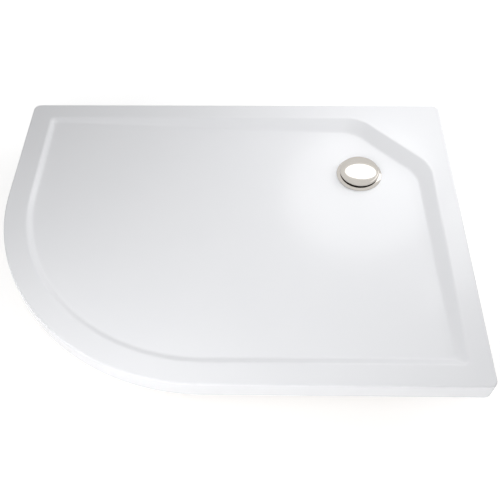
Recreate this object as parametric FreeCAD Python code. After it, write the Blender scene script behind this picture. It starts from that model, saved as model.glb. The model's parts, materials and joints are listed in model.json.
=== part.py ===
import FreeCAD, Part
import math
import os
from FreeCAD import Vector

# Left-hand offset-quadrant shower tray on adjustable legs, with its waste and trap.
# Sizes are in millimetres. The origin is on the floor under the middle of the tray's
# rectangle. +X runs along the long side, +Y towards the back wall and +Z up.

# Tray seen from above
TRAY_LENGTH = 1200.0
TRAY_DEPTH = 900.0
QUADRANT_RADIUS = 550.0
CORNER_RADIUS = 20.0

# Tray in section
TRAY_HEIGHT = 52.0
EDGE_ROUND = 5.0
SKIN_THICKNESS = 4.0
BOND_GAP = 0.3

# Basin: the seat is the flat ring that the waste stands on
RIM_WIDTH = 55.0
LEFT_RIM_WIDTH = 60.0
SEAT_DEPTH = 28.0
SEAT_MARGIN = 6.0
FLOOR_FALL = 1.0 / 44.0
WALL_ANGLE = 38.0
RIM_ROUND = 12.0
FLOOR_ROUND = 14.0
BASIN_CORNER_RADIUS = 22.0
DRAIN_CORNER_CUT = 183.0
DRAIN_CORNER_RADIUS = 140.0

# Backing and base board
BACKING_THICKNESS = 4.0
BOARD_THICKNESS = 15.0
BOARD_EDGE_GAP = 10.0
BOARD_WASTE_GAP = 5.0

# Waste flange and its gaskets: the slope takes a share of the ring's width
WASTE_FROM_RIGHT = 250.0
WASTE_FROM_BACK = 250.0
FLANGE_DIAMETER = 124.0
FLANGE_HEIGHT = 4.8
FLANGE_EDGE = 1.8
FLANGE_ROUND = 6.0
FLANGE_LIP = 2.0
FLANGE_SLOPE_SHARE = 0.6
FLANGE_LIFT = 0.4
FUNNEL_DEPTH = 9.0
SPIGOT_DIAMETER = 85.0
SPIGOT_WALL = 4.0
SPIGOT_ENGAGEMENT = 14.0
HOLE_CLEARANCE = 2.5
FLANGE_GASKET_THICKNESS = 1.5
FLANGE_GASKET_WIDTH = 8.0
TRAP_GASKET_THICKNESS = 3.0
GASKET_MARGIN = 2.0

# Trap
TRAP_FLOOR_GAP = 7.2
TRAP_DEPTH = 106.0
TRAP_FLANGE_DIAMETER = 108.0
TRAP_FLANGE_THICKNESS = 5.0
TRAP_CUP_DIAMETER = 104.0
TRAP_WALL = 3.0
TRAP_BOTTOM_ROUND = 8.0
COLLAR_WALL = 5.0
LEDGE_DROP = 3.5
LEDGE_THICKNESS = 4.0
GUSSET_COUNT = 6
GUSSET_THICKNESS = 3.0
THREAD_CLEARANCE = 0.25

# Dip tube and strainer
DIP_TUBE_DIAMETER = 58.0
DIP_TUBE_WALL = 2.5
DIP_TUBE_FLOOR_GAP = 9.0
DIP_SPIGOT_STEP = 2.2
DIP_SPIGOT_LENGTH = 6.0
DIP_FLANGE_THICKNESS = 3.0
LIFT_CLEARANCE = 2.0
SLIDE_CLEARANCE = 0.3
SEAL_SECTION = 3.0
SEAL_SQUEEZE_ROOM = 0.2
BASKET_DEPTH = 20.0
BASKET_WALL = 1.8
BASKET_CLEARANCE = 0.5
BASKET_SLOTS = 12
BASKET_SLOT_WIDTH = 3.0
BASKET_HOLE = 5.0
POST_DIAMETER = 16.0

# Dome cover and its stem
COVER_DIAMETER = 108.0
COVER_RIM_LIFT = 11.0
COVER_RIM_HEIGHT = 5.0
COVER_RIM_ROUND = 4.0
COVER_CROWN = 4.0
COVER_WALL = 1.6
COVER_BOSS_DIAMETER = 10.0
COVER_BOSS_LENGTH = 8.0
STEM_HEAD_WALL = 3.2
STEM_FIN_THICKNESS = 2.6
STEM_PIN_DIAMETER = 8.0
STEM_PIN_LENGTH = 10.0
POST_BELOW_SEAT = 10.0

# Outlet and its compression joint
OUTLET_RISE = 51.8
OUTLET_LENGTH = 38.0
OUTLET_WALL = 4.7
OUTLET_STOP = 2.5
PIPE_DIAMETER = 40.0
PIPE_WALL = 1.9
PIPE_SOCKET_DEPTH = 22.0
PIPE_END_INSET = 60.0
PIPE_MARK_WIDTH = 1.2
PIPE_MARK_DEPTH = 0.25
PIPE_MARK_GAP = 2.0
SEAL_CONE = 3.2
SEAL_BODY = 5.0
SLIP_RING_THICKNESS = 1.5
OUTLET_NUT_WALL = 4.75
OUTLET_NUT_END = 4.0
OUTLET_NUT_GRIP = 20.0
NUT_LUGS = 12
NUT_LUG_WIDTH = 5.0
NUT_LUG_HEIGHT = 1.5

# Legs: a plate under the board, a threaded spindle, its lock nut and a foot
LEG_INSET = 110.0
PLATE_SIZE = 76.0
PLATE_THICKNESS = 5.0
PLATE_CORNER = 10.0
PLATE_RIB_THICKNESS = 4.0
BOSS_DIAMETER = 28.0
BOSS_DROP = 13.0
BOSS_RISE = 12.0
BOSS_CLEARANCE = 1.0
SPINDLE_DIAMETER = 12.0
SPINDLE_CHAMFER = 1.2
SPINDLE_TOP_INSET = 0.7
SPANNER_FLATS = 17.0
SPANNER_HEIGHT = 9.0
LOCK_NUT_FLATS = 19.0
LOCK_NUT_HEIGHT = 10.0
NUT_CHAMFER = 1.2
FOOT_DIAMETER = 64.0
FOOT_BASE = 6.0
FOOT_HEIGHT = 28.0
FOOT_NECK_DIAMETER = 24.0
FOOT_SOCKET_DEPTH = 20.0
FOOT_RIBS = 8
FOOT_RIB_THICKNESS = 3.5
FOOT_EDGE_ROUND = 2.0

# Wood screws of the leg plates
SCREW_SPACING = 54.0
SCREW_DIAMETER = 4.8
SCREW_LENGTH = 15.0
SCREW_POINT = 4.0
SCREW_HEAD_DIAMETER = 9.6
SCREW_HEAD_HEIGHT = 3.0
SCREW_HEAD_ROUND = 1.4
SCREW_RECESS = 1.4
SCREW_CLEARANCE = 0.1

# Cutters run past the face that they open by this much
OVERCUT = 3.0
# A rounding takes at most this share of the wall that it lies on
ROUND_SHARE = 0.45

# Heights, from the floor up
trap_bottom = TRAP_FLOOR_GAP
trap_top = trap_bottom + TRAP_DEPTH
backing_low = trap_top + TRAP_GASKET_THICKNESS
seat_height = backing_low + BACKING_THICKNESS + BOND_GAP + SKIN_THICKNESS
rim_height = seat_height + SEAT_DEPTH
skirt_low = rim_height - TRAY_HEIGHT
board_low = backing_low - BOARD_THICKNESS
boss_low = board_low - PLATE_THICKNESS - BOSS_DROP
boss_top = board_low + BOSS_RISE
spigot_low = trap_top - SPIGOT_ENGAGEMENT
ledge_top = spigot_low - LEDGE_DROP
ledge_low = ledge_top - LEDGE_THICKNESS
cup_floor = trap_bottom + TRAP_WALL
outlet_height = cup_floor + OUTLET_RISE
dip_tube_low = cup_floor + DIP_TUBE_FLOOR_GAP
dip_flange_low = ledge_top + SEAL_SECTION
dip_flange_top = dip_flange_low + DIP_FLANGE_THICKNESS
post_top = seat_height - POST_BELOW_SEAT

# Radii and places that several pieces share
wall_angle = math.radians(WALL_ANGLE)
waste_x = TRAY_LENGTH / 2 - WASTE_FROM_RIGHT
waste_y = TRAY_DEPTH / 2 - WASTE_FROM_BACK
flange_radius = FLANGE_DIAMETER / 2
seat_radius = flange_radius + SEAT_MARGIN
spigot_radius = SPIGOT_DIAMETER / 2
spigot_bore = spigot_radius - SPIGOT_WALL
waste_hole_radius = spigot_radius + HOLE_CLEARANCE
collar_bore = spigot_radius + THREAD_CLEARANCE
trap_flange_radius = TRAP_FLANGE_DIAMETER / 2
cup_radius = TRAP_CUP_DIAMETER / 2
dip_tube_radius = DIP_TUBE_DIAMETER / 2
dip_tube_bore = dip_tube_radius - DIP_TUBE_WALL
dip_spigot_radius = dip_tube_radius + DIP_SPIGOT_STEP
ledge_bore = dip_spigot_radius + SLIDE_CLEARANCE
insert_radius = spigot_bore - LIFT_CLEARANCE
basket_radius = dip_tube_bore - BASKET_CLEARANCE
pipe_radius = PIPE_DIAMETER / 2
outlet_radius = pipe_radius + SLIDE_CLEARANCE + OUTLET_WALL
outlet_end = cup_radius + OUTLET_LENGTH
spindle_radius = SPINDLE_DIAMETER / 2
thread_bore = spindle_radius + THREAD_CLEARANCE


def leg_places():
    """Name and place of every leg, set in from the edge of the tray."""
    x = TRAY_LENGTH / 2 - LEG_INSET
    y = TRAY_DEPTH / 2 - LEG_INSET
    bend_x = QUADRANT_RADIUS - TRAY_LENGTH / 2
    bend_y = QUADRANT_RADIUS - TRAY_DEPTH / 2
    reach = (QUADRANT_RADIUS - LEG_INSET) * math.sqrt(0.5)
    return {
        "rear_left": (-x, y),
        "rear_middle": (0.0, y),
        "rear_right": (x, y),
        "centre": (0.0, 0.0),
        "bend": (bend_x - reach, bend_y - reach),
        "front_middle": (0.0, -y),
        "front_right": (x, -y),
    }


def moved_in(points, distance):
    """Corners of a convex outline, listed anticlockwise, with every side moved in."""
    result = []
    for index, corner in enumerate(points):
        before = (corner - points[index - 1]).normalize()
        after = (points[(index + 1) % len(points)] - corner).normalize()
        inward_before = Vector(-before.y, before.x, 0)
        inward_after = Vector(-after.y, after.x, 0)
        mitre = inward_before + inward_after
        result.append(corner + mitre * (distance / (1 + inward_before.dot(inward_after))))
    return result


def rounded_outline(points, radii, height):
    """Closed wire through the corners, with an arc at each corner that has a radius."""
    lift = Vector(0, 0, height)
    bends = []
    for index, corner in enumerate(points):
        to_last = (points[index - 1] - corner).normalize()
        to_next = (points[(index + 1) % len(points)] - corner).normalize()
        half_angle = to_last.getAngle(to_next) / 2
        radius = radii[index]
        reach = radius / math.tan(half_angle)
        to_middle = (to_last + to_next).normalize()
        middle = corner + to_middle * (radius / math.sin(half_angle) - radius)
        bends.append((corner + to_last * reach, middle, corner + to_next * reach))
    edges = []
    for index, (start, middle, end) in enumerate(bends):
        if radii[index] > 0:
            edges.append(Part.Arc(start + lift, middle + lift, end + lift).toShape())
        next_start = bends[(index + 1) % len(bends)][0]
        edges.append(Part.LineSegment(end + lift, next_start + lift).toShape())
    return Part.Wire(edges)


def tray_corners(margin):
    """Corners of the tray's rectangle from the front left, moved in by the margin."""
    x = TRAY_LENGTH / 2
    y = TRAY_DEPTH / 2
    corners = [Vector(-x, -y, 0), Vector(x, -y, 0), Vector(x, y, 0), Vector(-x, y, 0)]
    return moved_in(corners, margin)


def tray_prism(margin, low, high):
    """Upright block with the tray's outline, moved in by the margin."""
    small = max(CORNER_RADIUS - margin, EDGE_ROUND / 10)
    radii = [QUADRANT_RADIUS - margin, small, small, small]
    outline = rounded_outline(tray_corners(margin), radii, low)
    return Part.Face(outline).extrude(Vector(0, 0, high - low))


def basin_corners(margin):
    """Corners of the basin at the rim, with the corner by the waste cut off."""
    front_left, front_right, back_right, back_left = tray_corners(RIM_WIDTH)
    right_of_cut = back_right - Vector(0, DRAIN_CORNER_CUT, 0)
    back_of_cut = back_right - Vector(DRAIN_CORNER_CUT, 0, 0)
    wider = Vector(LEFT_RIM_WIDTH - RIM_WIDTH, 0, 0)
    corners = [front_left + wider, front_right, right_of_cut, back_of_cut, back_left + wider]
    return moved_in(corners, margin)


def largest_round():
    """Largest rounding that the basin's wall has room for in the corner farthest from the waste."""
    waste = Vector(waste_x, waste_y, 0)
    farthest = max((corner - waste).Length for corner in basin_corners(0)[1:])
    least_wall = SEAT_DEPTH - (farthest - seat_radius) * FLOOR_FALL
    return ROUND_SHARE * least_wall / (1 - math.cos(wall_angle))


def slanting_edges(solid, feet):
    """Edges of a tapered block that start at the given lower corners."""
    found = []
    for edge in solid.Edges:
        ends = [vertex.Point for vertex in edge.Vertexes]
        if abs(ends[0].z - ends[-1].z) < OVERCUT:
            continue
        if min((end - foot).Length for end in ends for foot in feet) < OVERCUT / 10:
            found.append(edge)
    return found


def basin_space(inset):
    """Hollow of the basin, with every surface moved into the material by the inset."""
    rim = rim_height - inset
    seat = seat_height - inset
    high = rim + OVERCUT
    low = seat - OVERCUT
    outlines = []
    for height in (high, low):
        margin = (rim - height) / math.tan(wall_angle) - inset * math.tan(wall_angle / 2)
        bend = QUADRANT_RADIUS - RIM_WIDTH - margin
        corners = basin_corners(margin)
        outlines.append(rounded_outline(corners, [bend, 0, 0, 0, 0], height))
    space = Part.makeLoft(outlines, True, True)
    feet = [corner + Vector(0, 0, low) for corner in corners]
    square_corners = slanting_edges(space, [feet[1], feet[4]])
    space = space.makeFillet(BASIN_CORNER_RADIUS + inset, square_corners)
    drain_corners = slanting_edges(space, [feet[2], feet[3]])
    space = space.makeFillet(DRAIN_CORNER_RADIUS + inset, drain_corners)
    depth = high - seat + OVERCUT
    fall = Part.makeCone(seat_radius, seat_radius + depth / FLOOR_FALL, depth, Vector(waste_x, waste_y, seat))
    space = space.common(fall).Solids[0]
    cones = [face for face in space.Faces if face.Surface.TypeId == "Part::GeomCone"]
    floor = max(cones, key=lambda face: abs(face.Surface.SemiAngle))
    floor_round = min(FLOOR_ROUND, largest_round(), BASIN_CORNER_RADIUS) + inset
    return space.makeFillet(floor_round, floor.OuterWire.Edges)


def rim_face(solid, height):
    """Level face at the top of the tray."""
    for face in solid.Faces:
        box = face.BoundBox
        if box.ZLength < 1e-6 and abs(box.ZMax - height) < 1e-6:
            return face


def tray_form(inset, low):
    """Tray as one block from the given height up, with its upper surface and sides moved in."""
    rim = rim_height - inset
    form = tray_prism(inset, low, rim).cut(basin_space(inset)).Solids[0]
    face = rim_face(form, rim)
    inner_edges = [edge for wire in face.Wires for edge in wire.Edges if not wire.isSame(face.OuterWire)]
    form = form.makeFillet(min(RIM_ROUND, largest_round()) - inset, inner_edges)
    edge_round = EDGE_ROUND - inset
    if edge_round > EDGE_ROUND / 10:
        form = form.makeFillet(edge_round, rim_face(form, rim).OuterWire.Edges)
    return form


def upright(radius, low, high, x=0.0, y=0.0):
    """Vertical cylinder between two heights."""
    return Part.makeCylinder(radius, high - low, Vector(x, y, low))


def upright_ring(outer, inner, low, high, x=0.0, y=0.0):
    """Vertical tube between two heights."""
    return upright(outer, low, high, x, y).cut(upright(inner, low, high, x, y))


def turned(points):
    """Solid of revolution about the Z axis from a closed outline of radius and height."""
    corners = [Vector(radius, 0, height) for radius, height in points]
    outline = Part.makePolygon(corners + corners[:1])
    return Part.Face(outline).revolve(Vector(0, 0, 0), Vector(0, 0, 1), 360)


def ring_edges(solid, rings):
    """Circular edges of a turned solid, found by radius and height."""
    found = []
    for edge in solid.Edges:
        if edge.Degenerated or edge.Curve.TypeId != "Part::GeomCircle":
            continue
        place = (edge.Curve.Radius, edge.Curve.Center.z)
        if any(math.dist(place, ring) < 1e-3 for ring in rings):
            found.append(edge)
    return found


def hexagon(across_flats, low, high):
    """Six-sided prism on the Z axis with its corner rings chamfered."""
    corner_radius = across_flats / math.sqrt(3)
    corners = []
    for step in range(7):
        angle = math.radians(60 * step)
        corners.append(Vector(corner_radius * math.cos(angle), corner_radius * math.sin(angle), low))
    prism = Part.Face(Part.makePolygon(corners)).extrude(Vector(0, 0, high - low))
    flat = across_flats / 2
    cone = turned([
        (0, low),
        (flat, low),
        (flat + NUT_CHAMFER * 2, low + NUT_CHAMFER),
        (flat + NUT_CHAMFER * 2, high - NUT_CHAMFER),
        (flat, high),
        (0, high),
    ])
    return prism.common(cone)


def spread(shape, count, start=0.0):
    """Copies of a shape turned evenly about the Z axis."""
    copies = []
    for step in range(count):
        copy = shape.copy()
        copy.rotate(Vector(0, 0, 0), Vector(0, 0, 1), start + 360.0 * step / count)
        copies.append(copy)
    return copies


def at_waste(shape):
    """Moves a piece from the Z axis to the axis of the waste."""
    return shape.translated(Vector(waste_x, waste_y, 0))


def at_outlet(shape):
    """Lays a piece made on the Z axis along the outlet, which runs from the waste to the back."""
    laid = shape.copy()
    laid.rotate(Vector(0, 0, 0), Vector(1, 0, 0), -90)
    return laid.translated(Vector(waste_x, waste_y, outlet_height))


def tray_skin():
    """Moulded shell: rim, basin, floor and skirt."""
    shell = tray_form(0, skirt_low).cut(tray_form(SKIN_THICKNESS, skirt_low))
    hole = upright(waste_hole_radius, skirt_low, rim_height, waste_x, waste_y)
    return shell.cut(hole)


def resin_backing():
    """Layer under the rim and floor: its top follows the skin and its underside is level."""
    layer = tray_form(SKIN_THICKNESS + BOND_GAP, backing_low)
    hole = upright(waste_hole_radius, backing_low - OVERCUT, rim_height, waste_x, waste_y)
    return layer.cut(hole)


def screw_corners():
    """Places of one plate's screws round its boss."""
    half = SCREW_SPACING / 2
    return [(x, y) for x in (-half, half) for y in (-half, half)]


def screw_places():
    """Places of every plate screw."""
    return [(x + a, y + b) for x, y in leg_places().values() for a, b in screw_corners()]


def base_board():
    """Board under the backing, drilled for the waste, the leg bosses and the plate screws."""
    board = tray_prism(SKIN_THICKNESS + BOARD_EDGE_GAP, board_low, backing_low)
    low = board_low - OVERCUT
    high = backing_low + OVERCUT
    holes = [upright(trap_flange_radius + BOARD_WASTE_GAP, low, high, waste_x, waste_y)]
    for x, y in leg_places().values():
        holes.append(upright(BOSS_DIAMETER / 2 + BOSS_CLEARANCE, low, high, x, y))
    pilot_top = board_low + SCREW_LENGTH - PLATE_THICKNESS + SCREW_CLEARANCE
    for x, y in screw_places():
        holes.append(upright(SCREW_DIAMETER / 2 + SCREW_CLEARANCE, low, pilot_top, x, y))
    return board.cut(Part.makeCompound(holes))


def waste_flange():
    """Domed ring on the tray floor, with the funnel and the threaded spigot below it."""
    top_inner = waste_hole_radius + FLANGE_LIP
    top_outer = flange_radius - (flange_radius - top_inner) * FLANGE_SLOPE_SHARE
    under = seat_height + FLANGE_GASKET_THICKNESS
    lip_low = seat_height + FLANGE_LIFT
    top = seat_height + FLANGE_HEIGHT
    funnel_low = seat_height - FUNNEL_DEPTH
    ring = turned([
        (flange_radius, lip_low),
        (flange_radius, seat_height + FLANGE_EDGE),
        (top_outer, top),
        (top_inner, top),
        (spigot_bore, funnel_low),
        (spigot_bore, spigot_low),
        (spigot_radius, spigot_low),
        (spigot_radius, under),
        (flange_radius - FLANGE_LIP, under),
        (flange_radius - FLANGE_LIP, lip_low),
    ])
    ring = ring.makeFillet(FLANGE_ROUND, ring_edges(ring, [(top_outer, top)]))
    return at_waste(ring.makeFillet(FLANGE_LIP, ring_edges(ring, [(top_inner, top)])))


def flange_gasket():
    """Flat seal between the flange and the seat of the tray, just inside the flange's lip."""
    outer = flange_radius - FLANGE_LIP - SLIDE_CLEARANCE
    inner = outer - FLANGE_GASKET_WIDTH
    high = seat_height + FLANGE_GASKET_THICKNESS
    return upright_ring(outer, inner, seat_height, high, waste_x, waste_y)


def trap_gasket():
    """Flat seal between the trap's flange and the backing."""
    outer = trap_flange_radius - GASKET_MARGIN
    inner = waste_hole_radius + GASKET_MARGIN
    return upright_ring(outer, inner, trap_top, backing_low, waste_x, waste_y)


def trap_body():
    """Cup with a flanged and threaded collar, the ledge for the dip tube and the side outlet."""
    flange_low = trap_top - TRAP_FLANGE_THICKNESS
    collar_radius = collar_bore + COLLAR_WALL
    shoulder = cup_radius - collar_radius
    cup_bore = cup_radius - TRAP_WALL
    cup = turned([
        (trap_flange_radius, trap_top),
        (collar_bore, trap_top),
        (collar_bore, ledge_top),
        (ledge_bore, ledge_top),
        (ledge_bore, ledge_low),
        (cup_bore, ledge_low),
        (cup_bore, cup_floor),
        (0, cup_floor),
        (0, trap_bottom),
        (cup_radius, trap_bottom),
        (cup_radius, ledge_low),
        (collar_radius, ledge_low + shoulder),
        (collar_radius, flange_low),
        (trap_flange_radius, flange_low),
    ])
    cup = cup.makeFillet(TRAP_BOTTOM_ROUND, ring_edges(cup, [(cup_radius, trap_bottom)]))
    inner_round = TRAP_BOTTOM_ROUND - TRAP_WALL
    cup = cup.makeFillet(inner_round, ring_edges(cup, [(cup_bore, cup_floor)]))
    gusset_low = ledge_low + shoulder
    gusset = Part.Face(Part.makePolygon([
        Vector(collar_radius - COLLAR_WALL / 2, -GUSSET_THICKNESS / 2, gusset_low),
        Vector(collar_radius, -GUSSET_THICKNESS / 2, gusset_low),
        Vector(trap_flange_radius - GASKET_MARGIN, -GUSSET_THICKNESS / 2, flange_low),
        Vector(collar_radius - COLLAR_WALL / 2, -GUSSET_THICKNESS / 2, flange_low),
        Vector(collar_radius - COLLAR_WALL / 2, -GUSSET_THICKNESS / 2, gusset_low),
    ])).extrude(Vector(0, GUSSET_THICKNESS, 0))
    cup = at_waste(cup.fuse(spread(gusset, GUSSET_COUNT)))
    middle_of_wall = cup_radius - TRAP_WALL / 2
    inside = middle_of_wall - outlet_radius
    branch = at_outlet(upright(outlet_radius, inside, outlet_end))
    branch = branch.cut(at_waste(upright(cup_bore, trap_bottom, ledge_low)))
    socket_bore = pipe_radius + SLIDE_CLEARANCE
    bore = upright(socket_bore - OUTLET_STOP, inside, outlet_end)
    socket = upright(socket_bore, outlet_end - PIPE_SOCKET_DEPTH, outlet_end)
    mouth_start = Vector(0, 0, outlet_end - SEAL_CONE)
    mouth = Part.makeCone(socket_bore, socket_bore + SEAL_CONE, SEAL_CONE, mouth_start)
    hollow = at_outlet(bore.fuse([socket, mouth]))
    return cup.fuse(branch).cut(hollow).removeSplitter()


def dip_tube():
    """Lift-out tube: its flange stands on the seal and its open end dips under the water."""
    spigot_end = dip_flange_low - SEAL_SECTION - DIP_SPIGOT_LENGTH
    return at_waste(turned([
        (dip_tube_bore, dip_tube_low),
        (dip_tube_radius, dip_tube_low),
        (dip_tube_radius, spigot_end - DIP_SPIGOT_STEP),
        (dip_spigot_radius, spigot_end),
        (dip_spigot_radius, dip_flange_low),
        (insert_radius, dip_flange_low),
        (insert_radius, dip_flange_top),
        (dip_tube_bore, dip_flange_top),
    ]))


def dip_tube_seal():
    """O-ring round the dip tube's spigot, between its flange and the ledge."""
    section = SEAL_SECTION / 2 - SEAL_SQUEEZE_ROOM
    middle = dip_spigot_radius + SLIDE_CLEARANCE + section
    height = (ledge_top + dip_flange_low) / 2
    return Part.makeTorus(middle, section, Vector(waste_x, waste_y, height))


def strainer():
    """Hair basket hung in the dip tube, with the post that takes the cover's stem."""
    rim_top = dip_flange_top + BASKET_WALL
    basket_low = dip_flange_top - BASKET_DEPTH
    basket_bore = basket_radius - BASKET_WALL
    plate_top = basket_low + BASKET_WALL
    post_radius = POST_DIAMETER / 2
    pin_bore = STEM_PIN_DIAMETER / 2 + THREAD_CLEARANCE
    basket = turned([
        (0, basket_low),
        (basket_radius, basket_low),
        (basket_radius, dip_flange_top),
        (insert_radius, dip_flange_top),
        (insert_radius, rim_top),
        (basket_bore, rim_top),
        (basket_bore, plate_top),
        (post_radius, plate_top),
        (post_radius, post_top),
        (pin_bore, post_top),
        (pin_bore, post_top - STEM_PIN_LENGTH - SLIDE_CLEARANCE),
        (0, post_top - STEM_PIN_LENGTH - SLIDE_CLEARANCE),
    ])
    slot_low = plate_top + BASKET_SLOT_WIDTH
    slot_high = dip_flange_top - BASKET_SLOT_WIDTH
    slot = Part.makeBox(
        BASKET_WALL * 3, BASKET_SLOT_WIDTH, slot_high - slot_low,
        Vector(basket_bore - BASKET_WALL, -BASKET_SLOT_WIDTH / 2, slot_low))
    hole_radius = BASKET_HOLE / 2
    hole = upright(hole_radius, basket_low - OVERCUT, plate_top + OVERCUT, (post_radius + basket_bore) / 2, 0)
    rim_hole = upright(hole_radius / 2, basket_low, rim_top + OVERCUT, (basket_radius + insert_radius) / 2, 0)
    openings = spread(slot, BASKET_SLOTS) + spread(hole, BASKET_SLOTS) + spread(rim_hole, BASKET_SLOTS)
    return at_waste(basket.cut(openings))


def dome_section(inset):
    """Crown arc of one face of the cover's sheet, and the lower end of its rim."""
    radius = COVER_DIAMETER / 2 - inset
    rim_low = seat_height + COVER_RIM_LIFT
    rim_top = rim_low + COVER_RIM_HEIGHT - inset
    middle = Vector(0, 0, rim_top + COVER_CROWN)
    halfway = Vector(radius / 2, 0, rim_top + COVER_CROWN * 3 / 4)
    edge = Vector(radius, 0, rim_top)
    return Part.Arc(middle, halfway, edge).toShape(), middle, edge, Vector(radius, 0, rim_low)


def dome_cover():
    """Pressed dome with a turned-down rim and a boss for its stem."""
    outer_arc, outer_middle, outer_edge, outer_low = dome_section(0)
    inner_arc, inner_middle, inner_edge, inner_low = dome_section(COVER_WALL)
    rim = Part.makePolygon([outer_edge, outer_low, inner_low, inner_edge])
    axis = Part.LineSegment(inner_middle, outer_middle).toShape()
    outline = Part.Wire(Part.__sortEdges__([outer_arc, inner_arc, axis] + rim.Edges))
    dome = Part.Face(outline).revolve(Vector(0, 0, 0), Vector(0, 0, 1), 360)
    outer_round = min(COVER_RIM_ROUND, COVER_RIM_HEIGHT - COVER_WALL / 2)
    dome = dome.makeFillet(outer_round, ring_edges(dome, [(outer_edge.x, outer_edge.z)]))
    inner_round = max(outer_round - COVER_WALL, COVER_WALL / 2)
    dome = dome.makeFillet(inner_round, ring_edges(dome, [(inner_edge.x, inner_edge.z)]))
    boss_top_end = outer_middle.z - COVER_WALL / 2
    boss = upright(COVER_BOSS_DIAMETER / 2, inner_middle.z - COVER_BOSS_LENGTH, boss_top_end)
    return at_waste(dome.fuse(boss))


def cover_stem():
    """Stem that plugs onto the cover's boss and into the strainer's post."""
    crown_under = seat_height + COVER_RIM_LIFT + COVER_RIM_HEIGHT + COVER_CROWN - COVER_WALL
    head_top = crown_under - COVER_WALL / 2
    boss_low_end = crown_under - COVER_BOSS_LENGTH
    socket = COVER_BOSS_DIAMETER / 2 + THREAD_CLEARANCE
    head_radius = socket + STEM_HEAD_WALL
    socket_low = boss_low_end - SLIDE_CLEARANCE
    head_low = socket_low - STEM_HEAD_WALL
    shoulder = post_top + SLIDE_CLEARANCE
    shoulder_top = shoulder + STEM_FIN_THICKNESS
    pin_radius = STEM_PIN_DIAMETER / 2
    head = upright(head_radius, head_low, head_top).cut(upright(socket, socket_low, head_top))
    core = upright(pin_radius, post_top - STEM_PIN_LENGTH, head_low)
    collar = upright(POST_DIAMETER / 2, shoulder, shoulder_top)
    fin = Part.makeBox(
        head_radius * 2, STEM_FIN_THICKNESS, head_low - shoulder_top,
        Vector(-head_radius, -STEM_FIN_THICKNESS / 2, shoulder_top))
    return at_waste(head.fuse([core, collar] + spread(fin, 4)[:2]).removeSplitter())


def outlet_seal():
    """Rubber ring whose cone fills the mouth of the outlet round the pipe."""
    bore = pipe_radius + THREAD_CLEARANCE
    nose = outlet_end - SEAL_CONE + SLIDE_CLEARANCE * 2
    face = outlet_end + SLIDE_CLEARANCE
    outer = outlet_radius - SLIDE_CLEARANCE * 2
    return at_outlet(turned([
        (bore, nose),
        (bore + face - nose, face),
        (outer, face),
        (outer, outlet_end + SEAL_BODY),
        (bore, outlet_end + SEAL_BODY),
    ]))


def outlet_slip_ring():
    """Thin ring that lets the nut turn on the seal."""
    low = outlet_end + SEAL_BODY
    outer = outlet_radius - SLIDE_CLEARANCE
    return at_outlet(upright_ring(outer, pipe_radius + SLIDE_CLEARANCE, low, low + SLIP_RING_THICKNESS))


def outlet_nut():
    """Ribbed nut that screws onto the outlet and squeezes the seal onto the pipe."""
    bore = outlet_radius + THREAD_CLEARANCE
    outer = bore + OUTLET_NUT_WALL
    low = outlet_end - OUTLET_NUT_GRIP
    shoulder = outlet_end + SEAL_BODY + SLIP_RING_THICKNESS
    high = shoulder + OUTLET_NUT_END
    body = turned([
        (bore, low),
        (outer, low),
        (outer, high - OUTLET_NUT_END / 2),
        (outer - OUTLET_NUT_END / 2, high),
        (pipe_radius + SLIDE_CLEARANCE * 2, high),
        (pipe_radius + SLIDE_CLEARANCE * 2, shoulder),
        (bore, shoulder),
    ])
    lug = Part.makeBox(
        OUTLET_NUT_WALL / 2 + NUT_LUG_HEIGHT, NUT_LUG_WIDTH, high - OUTLET_NUT_END - low,
        Vector(outer - OUTLET_NUT_WALL / 2, -NUT_LUG_WIDTH / 2, low))
    return at_outlet(body.fuse(spread(lug, NUT_LUGS)).removeSplitter())


def outlet_pipe():
    """Short waste pipe from the outlet's socket towards the back, scribed at its insertion depth."""
    start = outlet_end - PIPE_SOCKET_DEPTH + SLIDE_CLEARANCE
    end = TRAY_DEPTH / 2 - PIPE_END_INSET - waste_y
    mark = outlet_end + SEAL_BODY + SLIP_RING_THICKNESS + OUTLET_NUT_END + PIPE_MARK_GAP
    groove = upright_ring(pipe_radius + OVERCUT, pipe_radius - PIPE_MARK_DEPTH, mark, mark + PIPE_MARK_WIDTH)
    return at_outlet(upright_ring(pipe_radius, pipe_radius - PIPE_WALL, start, end).cut(groove))


def leg_plate():
    """Square plate under the board with a threaded boss through it and ribs below."""
    half = PLATE_SIZE / 2
    plate_low = board_low - PLATE_THICKNESS
    corners = [Vector(-half, -half, 0), Vector(half, -half, 0), Vector(half, half, 0), Vector(-half, half, 0)]
    outline = rounded_outline(corners, [PLATE_CORNER] * 4, plate_low)
    plate = Part.Face(outline).extrude(Vector(0, 0, PLATE_THICKNESS))
    boss_radius = BOSS_DIAMETER / 2
    rib = Part.Face(Part.makePolygon([
        Vector(thread_bore + THREAD_CLEARANCE, -PLATE_RIB_THICKNESS / 2, plate_low),
        Vector(half - PLATE_THICKNESS, -PLATE_RIB_THICKNESS / 2, plate_low),
        Vector(boss_radius, -PLATE_RIB_THICKNESS / 2, boss_low + PLATE_RIB_THICKNESS / 2),
        Vector(thread_bore + THREAD_CLEARANCE, -PLATE_RIB_THICKNESS / 2, boss_low + PLATE_RIB_THICKNESS / 2),
        Vector(thread_bore + THREAD_CLEARANCE, -PLATE_RIB_THICKNESS / 2, plate_low),
    ])).extrude(Vector(0, PLATE_RIB_THICKNESS, 0))
    body = plate.fuse([upright(boss_radius, boss_low, boss_top)] + spread(rib, 4))
    holes = [upright(thread_bore, boss_low - OVERCUT, boss_top + OVERCUT)]
    screw_hole = SCREW_DIAMETER / 2 + SCREW_CLEARANCE
    for x, y in screw_corners():
        holes.append(upright(screw_hole, plate_low - OVERCUT, board_low + OVERCUT, x, y))
    return body.cut(holes).removeSplitter()


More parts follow.
